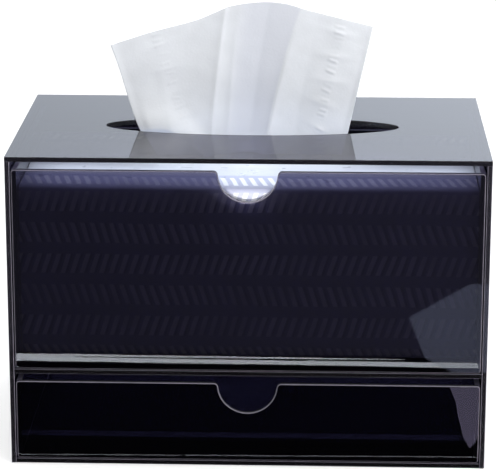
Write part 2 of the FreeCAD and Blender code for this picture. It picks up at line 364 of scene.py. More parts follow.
def corner_arc(centre, radius, start, end, count):
    angles = np.radians(np.linspace(start, end, count))
    return [(centre[0] + radius * math.cos(a), centre[1] + radius * math.sin(a)) for a in angles]


def girth_outline():
    """The pack's cross-section as (y, z) points, evenly spaced, from the mouth and back to it."""
    low_y, high_y, low_z, high_z = wrap_low.y, wrap_high.y, wrap_low.z, wrap_high.z
    top, base = TOP_CORNER_RADIUS, BASE_CORNER_RADIUS
    path = [(MOUTH_Y, high_z)]
    path += corner_arc((high_y - top, high_z - top), top, 90, 0, TOP_ARC_POINTS)
    path += corner_arc((high_y - base, low_z + base), base, 0, -90, BASE_ARC_POINTS)
    path += corner_arc((low_y + base, low_z + base), base, 270, 180, BASE_ARC_POINTS)
    path += corner_arc((low_y + top, high_z - top), top, 180, 90, TOP_ARC_POINTS)
    path += [(MOUTH_Y, high_z)]
    path = np.array(path)
    reach = np.concatenate([[0], np.cumsum(np.hypot(*np.diff(path, axis=0).T))])
    steps = np.linspace(0, reach[-1], round(reach[-1] / GIRTH_STEP) + 1)
    even = np.stack([np.interp(steps, reach, path[:, k]) for k in (0, 1)], axis=1)
    return even, steps


outline, girth = girth_outline()
print("pack girth", round(girth[-1] / MM), "mm in", len(outline), "points")

# %% Pack body and ends
END_ROWS = 16
FOLD_AT = 0.997
LENGTH_ROWS = 92
END_BULGE = 0.03 * MM
END_PINCH = 0.12
FRONT_CROWN = 0.4 * MM
TOP_SAG = 0.42 * MM


def pack_points():
    """The film's grid: a body between two ends that close onto a level seal line."""
    body = np.sort(np.append(np.linspace(-1, 1, LENGTH_ROWS), (-FOLD_AT, FOLD_AT)))
    shrink = np.insert(np.sin(np.linspace(0, math.pi / 2, END_ROWS + 1))[1:], 0, 1 - FOLD_AT)
    rows = [(-1, s) for s in shrink[::-1]] + [(u, 0.0) for u in body] + [(1, s) for s in shrink]
    points = np.zeros((len(rows), len(outline), 3))
    for i, (u, shut) in enumerate(rows):
        y, z = outline[:, 0].copy(), outline[:, 1].copy()
        x = np.full(len(y), u * (PACK_HALF_LENGTH - END_BULGE))
        # soft faces: the front is crowned along its length, and the top sags at its middle
        front = smoothstep(PACK_MIDDLE_Y, wrap_low.y, y)
        y += front * FRONT_CROWN * u ** 2
        on_top = smoothstep(wrap_high.z - TOP_CORNER_RADIUS, wrap_high.z, z)
        z -= on_top * TOP_SAG * (0.5 + 0.5 * math.cos(math.pi * u))
        if shut:
            x += u * END_BULGE * math.sin(shut * math.pi / 2)
            z = PACK_MIDDLE_Z + (z - PACK_MIDDLE_Z) * (1 - shut)
            y = PACK_MIDDLE_Y + (y - PACK_MIDDLE_Y) * (1 - END_PINCH * shut)
        points[i] = np.stack([x, y, z], axis=1)
    return points, rows


print("pack grid:", pack_points()[0].shape)

# %% Pack mouth
MOUTH_PULL_REACH = 14 * MM
LIP_REACH = 3 * MM
LIP_RISE = 0.6 * MM


def open_mouth(points):
    """Pushes the two edges of the welded line apart into an oval, and turns its lips up."""
    x = points[:, :, 0]
    ahead = points[:, :, 1] - MOUTH_Y
    top = points[:, :, 2] > wrap_high.z - 2 * TOP_CORNER_RADIUS
    gap = np.sqrt(np.clip(1 - (x / MOUTH_HALF_LENGTH) ** 2, 0, 1)) * MOUTH_HALF_WIDTH
    columns = points.shape[1]
    side = np.where(np.arange(columns) < columns / 2, 1.0, -1.0)[None, :]
    near = np.exp(-np.abs(ahead) / MOUTH_PULL_REACH) * top
    points[:, :, 1] += side * gap * near
    lip = np.exp(-(ahead / LIP_REACH) ** 2) * top * (gap / MOUTH_HALF_WIDTH)
    points[:, :, 2] += lip * LIP_RISE


print("mouth:", round(2 * MOUTH_HALF_LENGTH / MM), "by", round(2 * MOUTH_HALF_WIDTH / MM), "mm")

# %% [markdown]
# Thin film never lies flat. Two layers of smooth noise dent it inwards, long dents along the
# pack and fine ones all over, and a third layer runs in from the seals, as film does where it
# is gathered. A cloth simulation could give these too, but noise leaves the pack's outline as
# it is. What would sink into the folded tissues is lifted onto them.

# %% Wrinkles
# Each kind: how it is drawn out along the pack, how fine it is, how deep, and its seed.
LONG_WRINKLES = (0.35, 90, 0.6, 1)
FINE_WRINKLES = (1.0, 210, 0.25, 2)
END_PULLS = (0.15, 150, 1.2, 3)
END_PULLS_FROM = 0.72
END_DENT_SHARE = 0.15
WRINKLE = 1.0 * MM
NEXT_TO_NOTHING = 1e-9


def wrinkles(flat, kind):
    """One kind of wrinkle at each point, from minus to plus its depth."""
    drawn_out, fineness, depth, seed = kind
    return wander(flat * np.array([drawn_out, 1.0, 1.0]), fineness, seed) * depth


def wrinkle_film(points):
    """Small dents all over, and deeper ones that run in towards the end seals."""
    flat = points.reshape(-1, 3)
    centre = np.array([0, PACK_MIDDLE_Y, PACK_MIDDLE_Z])
    half_size = np.array([PACK_HALF_LENGTH, (wrap_high.y - wrap_low.y) / 2,
                          (wrap_high.z - wrap_low.z) / 2])
    out = (flat - centre) / half_size
    out = out * np.abs(out) ** 3
    out /= np.maximum(np.linalg.norm(out, axis=1, keepdims=True), NEXT_TO_NOTHING)
    near_end = smoothstep(END_PULLS_FROM * PACK_HALF_LENGTH, PACK_HALF_LENGTH, np.abs(flat[:, 0]))
    height = wrinkles(flat, LONG_WRINKLES) + wrinkles(flat, FINE_WRINKLES)
    height += near_end * wrinkles(flat, END_PULLS)
    dent = np.minimum(height, 0.0) * WRINKLE
    out[:, 0] *= END_DENT_SHARE
    flat += out * dent[:, None]
    points[:] = flat.reshape(points.shape)


print("a wrinkle of depth 1 is", round(WRINKLE / MM, 1), "mm deep")

# %% Pack film
FILM_THICKNESS = 0.15 * MM
FILM_CLEARANCE = 0.12 * MM
RESTING_BAND = 2 * MM
SEAL_STRETCH = 0.3
WELD_DISTANCE = 0.02 * MM


def rest_on_tissues(points):
    """Lifts what would sink into the folded tissues, which hold the film's top up."""
    low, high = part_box("tissue_stack")
    x, y, z = points[:, :, 0], points[:, :, 1], points[:, :, 2]
    over = (np.abs(x) < high.x) & (y > low.y) & (y < high.y) & (z > wrap_high.z - RESTING_BAND)
    z[over] = np.maximum(z[over], high.z + FILM_THICKNESS + FILM_CLEARANCE)


def make_pack():
    points, rows = pack_points()
    wrinkle_film(points)
    rest_on_tissues(points)
    open_mouth(points)
    places = np.array([u * PACK_HALF_LENGTH * (1 + SEAL_STRETCH * shut) for u, shut in rows])
    across = np.repeat(places[:, None], len(girth), axis=1)
    around = np.repeat(girth[None, :], len(rows), axis=0)
    return grid_object("pack_film", points, np.stack([across, around], axis=2))


def weld_and_thicken(obj, thickness):
    """Joins points that lie together, turns the faces outwards and gives the sheet a thickness."""
    work = bmesh.new()
    work.from_mesh(obj.data)
    bmesh.ops.remove_doubles(work, verts=work.verts, dist=WELD_DISTANCE)
    bmesh.ops.recalc_face_normals(work, faces=work.faces)
    work.to_mesh(obj.data)
    work.free()
    solid = obj.modifiers.new("thickness", "SOLIDIFY")
    solid.thickness = thickness
    solid.offset = -1
    solid.use_even_offset = False
    bake(obj)


def bake(obj):
    """Replaces an object's mesh by what its modifiers make of it."""
    graph = bpy.context.evaluated_depsgraph_get()
    mesh = bpy.data.meshes.new_from_object(obj.evaluated_get(graph))
    obj.modifiers.clear()
    obj.data = mesh


pack = make_pack()
weld_and_thicken(pack, FILM_THICKNESS)
print("pack film:", len(pack.data.polygons), "faces")

# %% [markdown]
# ## The pack's print
#
# The film is pale lavender with rows of short white strokes that lean left and right by turns, a
# plain herringbone. The strokes are sums on the film's own flat coordinates: which row, where in
# the row, and how far along the slanting stroke line. The film is pulled about as it is sealed, so
# the coordinates are shifted a little by noise and the rows waver. Each stroke is pressed in, and a
# darker band along one side of it is painted shade for the shadow in its hollow. Near the top the
# film is drawn tight over the tissues, whose white shows through it, so its ground is paler there;
# that paler ground is also painted light for the strong light on the pack's upper edge, and the
# painted shade of the hollows is left out there. On the top it lies looser, and its ground is
# darker again. The first row behind the front fold is drawn out long, and the middle of the top,
# round the mouth, has no print.

# %% Strokes of the print
ROW_PITCH = 14.5 * MM
FIRST_ROW_DROP = 5.8 * MM
STROKE_PITCH = 4.45 * MM
STROKE_SLANT = math.tan(math.radians(18))
STROKE_LENGTH = 0.63
STROKE_WIDTH = 0.48
STROKE_BLUR, STROKE_END_BLUR = 0.05, 0.02
DRAWN_OUT = 0.62


def front_fold():
    """How far round the film the front's top fold lies, counted from the mouth."""
    away = np.hypot(outline[:, 0] - wrap_low.y, outline[:, 1] - wrap_high.z)
    return float(girth[np.argmin(away)])


def within(distance, half, blur):
    """1 where a distance is under half, 0 where it is over, and a soft change between."""
    return 1.0 - distance.step(half - blur, half + blur)


print("front fold", round(front_fold() / MM, 1), "mm round the film")

# %% Film material
FILM_BASE = (0.33, 0.35, 0.52, 1)
# The hollow colour is painted shade beside each pressed stroke.
FILM_HOLLOW_SHADE = (0.10, 0.11, 0.22, 1)
# The tight ground is paler partly because the tissues show through and partly as painted light for
# the bright upper edge.
FILM_TIGHT_AND_LIT = (0.64, 0.66, 0.78, 1)
FILM_TOP = (0.52, 0.54, 0.69, 1)
FILM_PLAIN = (0.68, 0.70, 0.76, 1)
FILM_STROKE = (0.95, 0.96, 0.99, 1)
HOLLOW_SHADE_AT = 0.36
HOLLOW_SHADE_STRENGTH = 0.85
HOLLOW_SHADE_EDGE = (0.05, 0.2)
FAINTEST_INK = 0.5
INK_SCALE, INK_EDGE = 34.0, (0.3, 0.55)
PULL_ALONG, PULL_ALONG_SCALE = 3.4 * MM, 26.0
PULL_AROUND, PULL_AROUND_SCALE = 1.8 * MM, 17.0
TIGHT_AND_LIT_BELOW_TOP = 11 * MM
TOP_BEGINS, TOP_IS_FULL = 3 * MM, 1.5 * MM
PLAIN_HALF_DEPTH = 27.5 * MM
PLAIN_EDGE = 2 * MM
CREASE_SCALE, CREASE_DETAIL, CREASE_EDGE = 160.0, 4.0, (0.2, 0.9)
CREASE_STRENGTH, CREASE_DEPTH = 0.55, 0.8 * MM
FILM_ROUGHNESS, CREASE_ROUGHNESS = 0.26, 0.15


def make_film_material():
    material, g = new_material("pack_film")
    flat = g.node("ShaderNodeUVMap", {}, uv_map="flat")
    along, around, _ = g.parts(flat)
    around = around - (around - front_fold()).maths("MAXIMUM", 0.0) * (1.0 - DRAWN_OUT)
    place = g.node("ShaderNodeTexCoord", {}, output="Object")
    along = along + (g.noise(place, PULL_ALONG_SCALE) - 0.5) * PULL_ALONG
    around = around + (g.noise(place, PULL_AROUND_SCALE, detail=1.0) - 0.5) * PULL_AROUND
    rows = (around - front_fold() + FIRST_ROW_DROP) / ROW_PITCH + 0.5
    row = rows.maths("FLOOR")
    across_row = rows - row - 0.5
    lean = 1.0 - row.maths("MODULO", 2.0).maths("ABSOLUTE") * 2.0
    strokes = (along - lean * across_row * (ROW_PITCH * STROKE_SLANT)) / STROKE_PITCH
    from_stroke = (strokes.maths("FRACT") - 0.5).maths("ABSOLUTE")
    thick = within(from_stroke, STROKE_WIDTH / 2, STROKE_BLUR)
    # painted shade along one side of each stroke, for the shadow in its pressed hollow
    from_hollow_shade = ((strokes - HOLLOW_SHADE_AT).maths("FRACT") - 0.5).maths("ABSOLUTE")
    hollow_shade = (1.0 - from_hollow_shade.step(*HOLLOW_SHADE_EDGE)) * (1.0 - thick) * HOLLOW_SHADE_STRENGTH
    ends = within(across_row.maths("ABSOLUTE"), STROKE_LENGTH / 2, STROKE_END_BLUR)
    creases = g.noise(place, CREASE_SCALE, CREASE_DETAIL)
    ink = g.noise(place, INK_SCALE).step(*INK_EDGE) * (1.0 - FAINTEST_INK) + FAINTEST_INK
    height = g.parts(place)[2]
    # paler band near the top: partly tissue white through tight film, partly painted light
    tight_and_lit = height.step(wrap_high.z - TIGHT_AND_LIT_BELOW_TOP, wrap_high.z - TOP_BEGINS)
    hollow_shade = hollow_shade * (1.0 - tight_and_lit)
    from_middle = (g.parts(place)[1] - PACK_MIDDLE_Y).maths("ABSOLUTE")
    plain = (1.0 - from_middle.step(PLAIN_HALF_DEPTH - PLAIN_EDGE, PLAIN_HALF_DEPTH)) * tight_and_lit
    on_top = height.step(wrap_high.z - TOP_BEGINS, wrap_high.z - TOP_IS_FULL)
    ground = g.mix(on_top, g.mix(tight_and_lit, FILM_BASE, FILM_TIGHT_AND_LIT), FILM_TOP)
    ground = g.mix(hollow_shade * ends * ink, ground, FILM_HOLLOW_SHADE)
    colour = g.mix(plain, g.mix(thick * ends * ink, ground, FILM_STROKE), FILM_PLAIN)
    crinkle = g.node("ShaderNodeBump", {"Height": creases, "Strength": CREASE_STRENGTH,
                                        "Distance": CREASE_DEPTH})
    surface = g.node("ShaderNodeBsdfPrincipled", {
        "Base Color": colour,
        "Roughness": creases.step(*CREASE_EDGE) * CREASE_ROUGHNESS + FILM_ROUGHNESS,
        "Specular IOR Level": 0.5,
        "Normal": crinkle,
    })
    finish_material(g, surface)
    return material


film = make_film_material()
pack.data.materials.append(film)
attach(pack, "tissue_drawer")
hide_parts("pack_wrap")
print("pack film printed")

# %% [markdown]
# ## Tissue paper
#
# The folded tissues and the standing one are the same soft white paper: dull, faintly cloudy, with
# fibres so fine that only a near view shows them. Where the standing sheet lies double, between its
# two main folds, it is a little darker and cooler, partly for the double ply and partly as painted
# shade for the hollow between the folds; an attribute of its mesh says where.

# %% Paper material
PLAIN_PAPER = (0.750, 0.772, 0.808, 1)
PALE_PAPER = (0.800, 0.823, 0.862, 1)
# The lapped colour is darker for the double ply and also painted shade for the hollow between the
# main folds.
LAPPED_SHADED_PAPER = (0.705, 0.726, 0.785, 1)
FIBRE_SCALE, CLOUD_SCALE, PAPER_DETAIL = 900.0, 60.0, 3.0
CLOUD_LUMPS = 2.0
CLOUD_EDGE = (0.3, 0.7)
LUMP_STRENGTH, LUMP_DEPTH = 0.25, 0.3 * MM
PAPER_ROUGHNESS, FIBRE_ROUGHNESS = 0.85, 0.1


def paper_material():
    material, g = new_material("tissue_paper")
    place = g.node("ShaderNodeTexCoord", {}, output="Object")
    fibres = g.noise(place, FIBRE_SCALE, PAPER_DETAIL)
    cloudy = g.noise(place, CLOUD_SCALE, PAPER_DETAIL)
    lumps = g.node("ShaderNodeBump", {"Height": fibres + cloudy * CLOUD_LUMPS,
                                      "Strength": LUMP_STRENGTH, "Distance": LUMP_DEPTH})
    lapped_shade = g.node("ShaderNodeAttribute", {}, output="Fac", attribute_name="lapped_shade")
    single = g.mix(cloudy.step(*CLOUD_EDGE), PLAIN_PAPER, PALE_PAPER)
    surface = g.node("ShaderNodeBsdfPrincipled", {
        "Base Color": g.mix(lapped_shade, single, LAPPED_SHADED_PAPER),
        "Roughness": fibres * FIBRE_ROUGHNESS + PAPER_ROUGHNESS,
        "Specular IOR Level": 0.2,
        "Normal": lumps,
    })
    finish_material(g, surface)
    return material


paper = paper_material()
print("paper ready")

# %% [markdown]
# ## The folded tissues
#
# Inside the film the tissues lie folded in a block. Only the top ones show, through the
# mouth, but the block is built leaf by leaf all the same: Geometry Nodes put copies of one
# thin leaf on a line of points and nudge each a little, with a fixed seed.

# %% One leaf
stack_low, stack_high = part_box("tissue_stack")
LEAF_COUNT = 44
LEAF_INSET = 3.0 * MM
# Half a leaf's thickness as a share of its place in the stack, and how much of that half its
# long edges are rounded by.
LEAF_HALF_THICKNESS = 0.42
LEAF_ROUNDING = 0.9


def leaf_mesh():
    """One folded tissue: a thin slab with soft long edges, centred on the origin."""
    half_x = (stack_high.x - stack_low.x) / 2 - LEAF_INSET
    half_y = (stack_high.y - stack_low.y) / 2 - LEAF_INSET
    half_z = (stack_high.z - stack_low.z) / LEAF_COUNT * LEAF_HALF_THICKNESS
    work = bmesh.new()
    bmesh.ops.create_cube(work, size=2)
    bmesh.ops.scale(work, vec=(half_x, half_y, half_z), verts=work.verts)
    long_edges = [e for e in work.edges if abs((e.verts[0].co - e.verts[1].co).x) > half_x]
    bmesh.ops.bevel(work, geom=long_edges, offset=half_z * LEAF_ROUNDING, segments=3,
                    affect="EDGES", profile=0.5)
    mesh = bpy.data.meshes.new("leaf")
    work.to_mesh(mesh)
    work.free()
    mesh.materials.append(paper)
    return mesh


print("a leaf takes", round((stack_high.z - stack_low.z) / LEAF_COUNT / MM, 2), "mm of the stack")

# %% Leaves on a line
LEAF_JITTER = 0.5 * MM
LEAF_SEED = 5


def stack_tree(leaf):
    """Points on a line, moved by seeded noise, each carrying a leaf."""
    tree = bpy.data.node_groups.new("leaf stack", "GeometryNodeTree")
    face = tree.interface
    face.new_socket("Geometry", in_out="INPUT", socket_type="NodeSocketGeometry")
    counted = face.new_socket("Leaves", in_out="INPUT", socket_type="NodeSocketInt")
    tall = face.new_socket("Height", in_out="INPUT", socket_type="NodeSocketFloat")
    nudge = face.new_socket("Nudge", in_out="INPUT", socket_type="NodeSocketFloat")
    face.new_socket("Geometry", in_out="OUTPUT", socket_type="NodeSocketGeometry")
    new, link = tree.nodes.new, tree.links.new
    given, result = new("NodeGroupInput"), new("NodeGroupOutput")
    line = new("GeometryNodeMeshLine")
    line.mode = "END_POINTS"
    top = new("ShaderNodeCombineXYZ")
    spread = new("FunctionNodeRandomValue")
    spread.data_type = "FLOAT_VECTOR"
    low = new("ShaderNodeVectorMath")
    low.operation = "SCALE"
    low.inputs[0].default_value = (-1, -1, 0)
    high = new("ShaderNodeVectorMath")
    high.operation = "SCALE"
    high.inputs[0].default_value = (1, 1, 0)
    spread.inputs["Seed"].default_value = LEAF_SEED
    move = new("GeometryNodeSetPosition")
    source = new("GeometryNodeObjectInfo")
    source.inputs["Object"].default_value = leaf
    copies = new("GeometryNodeInstanceOnPoints")
    real = new("GeometryNodeRealizeInstances")
    dress = new("GeometryNodeSetMaterial")
    dress.inputs["Material"].default_value = paper
    link(given.outputs["Leaves"], line.inputs["Count"])
    link(given.outputs["Height"], top.inputs["Z"])
    link(top.outputs["Vector"], line.inputs["Offset"])
    link(given.outputs["Nudge"], low.inputs["Scale"])
    link(given.outputs["Nudge"], high.inputs["Scale"])
    link(low.outputs[0], spread.inputs["Min"])
    link(high.outputs[0], spread.inputs["Max"])
    link(line.outputs["Mesh"], move.inputs["Geometry"])
    link(spread.outputs["Value"], move.inputs["Offset"])
    link(move.outputs["Geometry"], copies.inputs["Points"])
    link(source.outputs["Geometry"], copies.inputs["Instance"])
    link(copies.outputs["Instances"], real.inputs["Geometry"])
    link(real.outputs["Geometry"], dress.inputs["Geometry"])
    link(dress.outputs["Geometry"], result.inputs["Geometry"])
    return tree, {counted.identifier: LEAF_COUNT, tall.identifier: stack_high.z - stack_low.z,
                  nudge.identifier: LEAF_JITTER}


print("leaves:", LEAF_COUNT)

# %% Folded tissues


def make_stack():
    leaf = bpy.data.objects.new("leaf", leaf_mesh())
    bpy.context.scene.collection.objects.link(leaf)
    tree, settings = stack_tree(leaf)
    stack = bpy.data.objects.new("folded_tissues", bpy.data.meshes.new("folded_tissues"))
    bpy.context.scene.collection.objects.link(stack)
    change = stack.modifiers.new("leaves", "NODES")
    change.node_group = tree
    for identifier, value in settings.items():
        change[identifier] = value
    bake(stack)
    middle = (stack_low + stack_high) / 2
    tall = stack_high.z - stack_low.z
    half_leaf = tall / LEAF_COUNT / 2
    rise = (tall - 2 * half_leaf) / tall
    lift = Matrix.Translation((middle.x, middle.y, stack_low.z + half_leaf))
    stack.data.transform(lift @ Matrix.Diagonal((1, 1, rise, 1)))
    bpy.data.objects.remove(leaf)
    return stack


stack = make_stack()
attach(stack, "tissue_drawer")
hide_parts("tissue_stack")
print("folded tissues:", len(stack.data.polygons), "faces")

# %% [markdown]
# ## The standing tissue
#
# The top tissue is pulled up through the slot. Its cut edges stay straight, but it is
# gathered where it leaves the pack, so it opens like a fan: each thread of paper runs from a
# point at the pack to a point on the upper edge. Soft folds lean with the threads, deepest
# at the slot, and two lines of short pressed dashes, which hold the two plies together, run
# down near the sides.

# %% Tissue outline
SHEET_FLAT_WIDTH = 133 * MM
SHEET_FLAT_HEIGHT = 70 * MM
FOOT_LEFT = -43.7 * MM
FOOT_RIGHT = 42.0 * MM
FOOT_CLEARANCE = 0.4 * MM
FOOT_Z = sheet_low.z + FOOT_CLEARANCE
UPPER_EDGE = [(-65.3, 182.8), (-47.4, 188.3), (-27.0, 193.6), (-17.9, 197.3), (-10.0, 200.6),
              (3.0, 202.3), (15.0, 201.7), (26.0, 198.7), (40.5, 195.2), (55.6, 191.4)]
CURVE_STEPS = 24


def smooth_line(points, count):
    """Evenly spaced points on a Catmull-Rom curve through the given ones."""
    points = np.array(points, float)
    ends = np.vstack([2 * points[0] - points[1], points, 2 * points[-1] - points[-2]])
    made = []
    for a, b, c, d in zip(ends, ends[1:], ends[2:], ends[3:]):
        for t in np.linspace(0, 1, CURVE_STEPS, endpoint=False):
            made.append(0.5 * (2 * b + (c - a) * t + (2 * a - 5 * b + 4 * c - d) * t ** 2
                               + (3 * b - a - 3 * c + d) * t ** 3))
    made = np.array(made + [points[-1]])
    reach = np.concatenate([[0], np.cumsum(np.hypot(*np.diff(made, axis=0).T))])
    steps = np.linspace(0, reach[-1], count)
    return np.stack([np.interp(steps, reach, made[:, k]) for k in (0, 1)], axis=1)


THREADS = 230
ROWS = 130
upper = smooth_line(UPPER_EDGE, THREADS) * MM
print("upper edge", round(np.hypot(*np.diff(upper, axis=0).T).sum() / MM, 1), "mm long")

# %% Tissue folds
# Each crease: share of the width at the upper edge and at the foot, how far it stands
# forward there (mm), and how wide its left and right flanks are, as shares.
CREASES = [
    (0.02, 0.03, -0.8, -1.8, 0.05, 0.09),
    (0.17, 0.13, 0.3, 1.4, 0.08, 0.07),
    (0.445, 0.285, 1.5, 3.4, 0.13, 0.08),
    (0.445, 0.285, 0.5, 0.8, 0.012, 0.008),
    (0.50, 0.375, 0.2, 1.6, 0.02, 0.03),
    (0.61, 0.49, -0.9, -3.2, 0.11, 0.08),
    (0.738, 0.576, 0.1, 2.8, 0.014, 0.06),
    (0.80, 0.72, -0.3, -1.0, 0.06, 0.06),
    (0.90, 0.86, 0.4, 0.9, 0.10, 0.05),
    (0.99, 0.97, -0.6, -1.6, 0.05, 0.03),
]
CREASE_SOFTNESS = 0.008
CENTRE_FORWARD = -2.5 * MM
LEAN_BACK = 2.5 * MM
BOW_AT_TOP = 0.4
LEFT_SWING, LEFT_SWING_REACH = 5.0 * MM, 0.45


def fold_depth(share, rise):
    """How far forward the paper stands; share runs along the width, rise from foot to edge."""
    depth = np.zeros_like(share)
    for at_edge, at_foot, edge_mm, foot_mm, left, right in CREASES:
        away = share - (at_foot + (at_edge - at_foot) * rise)
        tall = foot_mm + (edge_mm - foot_mm) * smoothstep(0.0, 1.0, rise)
        flank = np.where(away < 0, left, right)
        depth += tall * MM * np.exp((CREASE_SOFTNESS - np.hypot(away, CREASE_SOFTNESS)) / flank)
    bow = CENTRE_FORWARD * (1 - (2 * share - 1) ** 2) * (BOW_AT_TOP + (1 - BOW_AT_TOP) * (1 - rise))
    swing = LEFT_SWING * np.clip(1 - share / LEFT_SWING_REACH, 0, 1) ** 2
    return depth + bow + swing - LEAN_BACK * rise


print("creases:", len(CREASES))

# %% [markdown]
# Smaller things follow. One crease is curved: low on the left the paper rolls forward over it.
# Between the two main folds the paper lies double and carries painted shade, the pressed dashes run
# down the sides, and a fine crumple covers the whole. Each is a small function of a point's place
# on the sheet, so each can be moved without touching the others.

# %% The sweeping fold
SWEEP_FORWARD = 5.0 * MM
SWEEP_FROM, SWEEP_RUN, SWEEP_LONGEST = 0.05, 0.23, 2
SWEEP_HIGH, SWEEP_DROP, SWEEP_CURVE = 0.28, 0.36, 2.5
SWEEP_FADES_IN, SWEEP_FADES_OUT = (-0.05, 0.06), (0.34, 0.24)
SWEEP_UNDER, SWEEP_OVER = 0.06, 0.17


def sweeping_fold(share, rise):
    """The one curved crease, low on the left: forward over it, and falling away under it."""
    run = np.clip((share - SWEEP_FROM) / SWEEP_RUN, 0, SWEEP_LONGEST)
    over = rise - (SWEEP_HIGH - SWEEP_DROP * run ** SWEEP_CURVE)
    shown = smoothstep(*SWEEP_FADES_OUT, share) * smoothstep(*SWEEP_FADES_IN, share)
    flank = np.where(over < 0, SWEEP_UNDER, SWEEP_OVER)
    return SWEEP_FORWARD * shown * np.exp(-(over / flank) ** 2)


print("sweep stands", round(SWEEP_FORWARD / MM, 1), "mm forward")

# %% Doubled, shaded paper and fanned threads
# Each side of the doubled strip, which also carries painted shade: its share of the width at the
# upper edge and at the foot.
SHADE_LAP_LEFT, SHADE_LAP_RIGHT = (0.515, 0.375), (0.725, 0.566)
SHADE_LAP_LEFT_BLUR, SHADE_LAP_RIGHT_BLUR = 0.05, 0.006


def lapped_ply_shade(share, rise):
    """1 where the paper lies double between the two main folds and is painted darker as shade, and
    0 elsewhere.
    """
    left, right = (foot + (edge - foot) * rise for edge, foot in (SHADE_LAP_LEFT, SHADE_LAP_RIGHT))
    begun = smoothstep(left - SHADE_LAP_LEFT_BLUR, left + SHADE_LAP_LEFT_BLUR, share)
    return begun * smoothstep(right + SHADE_LAP_RIGHT_BLUR, right - SHADE_LAP_RIGHT_BLUR, share)


BULGE_REACH = 0.4
EDGE_BULGE = 0.19


def fanned(share, rise):
    """How far along its thread a point has moved sideways; the left threads move out early."""
    early = np.sin(np.pi * rise) * (1 - rise) * smoothstep(BULGE_REACH, 0, share)
    return rise + EDGE_BULGE * early


print("threads:", THREADS, "rows:", ROWS)

# %% Pressed dashes
# Each line of dashes: its share of the width at the upper edge, how far it has drifted at the
# foot, and how deep the dashes are (mm).
DASH_LINES = [(0.17, 0.065, 0.22), (0.885, -0.045, 0.48)]
DASH_PITCH = 2.3 * MM
DASH_LENGTH = 5.0 * MM
DASH_WIDTH = 0.62 * MM
DASH_SEED = 11
FIRST_DASH = 0.7
DASH_WANDER, DASH_SIDEWAYS_MM, DASH_TILT = 0.15, 0.7, 0.15
DASH_PRESSES = (0.1, 0.4, 1.0, 0.8)
PUCKER_EVERY, PUCKER_AT = 5, 2
PUCKER_LENGTH, PUCKER_WIDTH = 3.2, 3.0


def dash_emboss(across, down):
    """The pressed dashes of both lines, and the puckers they raise in the paper beside them."""
    height = np.zeros_like(across)
    picker = random.Random(DASH_SEED)
    for line, drift, depth in DASH_LINES:
        count = int(SHEET_FLAT_HEIGHT / DASH_PITCH)
        for k in range(count):
            level = (k + FIRST_DASH + picker.uniform(-DASH_WANDER, DASH_WANDER)) * DASH_PITCH
            place = line + drift * level / SHEET_FLAT_HEIGHT
            sideways = picker.uniform(-DASH_SIDEWAYS_MM, DASH_SIDEWAYS_MM) * MM
            middle = place * SHEET_FLAT_WIDTH + sideways
            strength = depth * MM * picker.choice(DASH_PRESSES)
            tilt = picker.uniform(-DASH_TILT, DASH_TILT)
            along = (across - middle) / (DASH_LENGTH / 2)
            off = (down - level - tilt * (across - middle)) / DASH_WIDTH
            height += strength * np.exp(-along ** 4 - off ** 2)
            if k % PUCKER_EVERY == PUCKER_AT:
                pucker = np.exp(-(along / PUCKER_LENGTH) ** 2 - (off / PUCKER_WIDTH) ** 2)
                height += depth * MM * pucker
    return height


print("lines of dashes:", len(DASH_LINES))

# %% Standing tissue
# Each crumple: how fine it is, how deep, and its seed.
CRUMPLES = [(55, 0.35 * MM, 8), (150, 0.14 * MM, 9)]
PAPER_THICKNESS = 0.2 * MM


def make_sheet():
    share, rise = np.meshgrid(np.linspace(0, 1, THREADS), np.linspace(0, 1, ROWS))
    foot_x = FOOT_LEFT + (FOOT_RIGHT - FOOT_LEFT) * share
    top_x, top_z = upper[None, :, 0], upper[None, :, 1]
    x = foot_x + (top_x - foot_x) * fanned(share, rise)
    z = FOOT_Z + (top_z - FOOT_Z) * rise
    across = share * SHEET_FLAT_WIDTH
    down = (1 - rise) * (top_z - FOOT_Z)
    forward = fold_depth(share, rise) + sweeping_fold(share, rise) + dash_emboss(across, down)
    spread_out = np.stack([x, z, 0 * x], axis=2).reshape(-1, 3)
    for fineness, depth, seed in CRUMPLES:
        forward += wander(spread_out, fineness, seed).reshape(x.shape) * depth
    y = MOUTH_Y - forward + CENTRE_FORWARD / 2
    made = grid_object("standing_tissue", np.stack([x, y, z], axis=2),
                       np.stack([across, down], axis=2))
    lapped_shade_layer = made.data.attributes.new("lapped_shade", "FLOAT", "POINT")
    lapped_shade_layer.data.foreach_set("value", lapped_ply_shade(share, rise).astype(np.float32).ravel())
    weld_and_thicken(made, PAPER_THICKNESS)
    return made


tissue = make_sheet()
tissue.data.materials.append(paper)
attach(tissue, "tissue_sheet")
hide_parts("tissue_sheet")
print("standing tissue:", len(tissue.data.polygons), "faces")

# %% [markdown]
# ## Table and light
#
# The table and the surroundings are white to the camera, and pale through the panels. In
# polished faces they are darker, as in a studio with black cloth in front of a glossy thing,
# and the cloth ends two hand widths away, where a little grey shows again.

# %% Surroundings
BACK_LEFT_GLOW = 0.85
BACK_RIGHT_GLOW = 1.8
FRONT_GLOW = 0.70
TOP_GLOW = 0.72
BACKDROP_TINT = (0.93, 1.0, 1.13, 1)
# Where the surroundings change, as parts of the direction one looks in.
BEHIND_BEGINS, BEHIND_ENDS_ABOVE = (0.3, 0.9), (0.35, 0.8)
ABOVE_BEGINS = (0.35, 0.95)
LEFT_TO_RIGHT = (-0.35, 0.35)


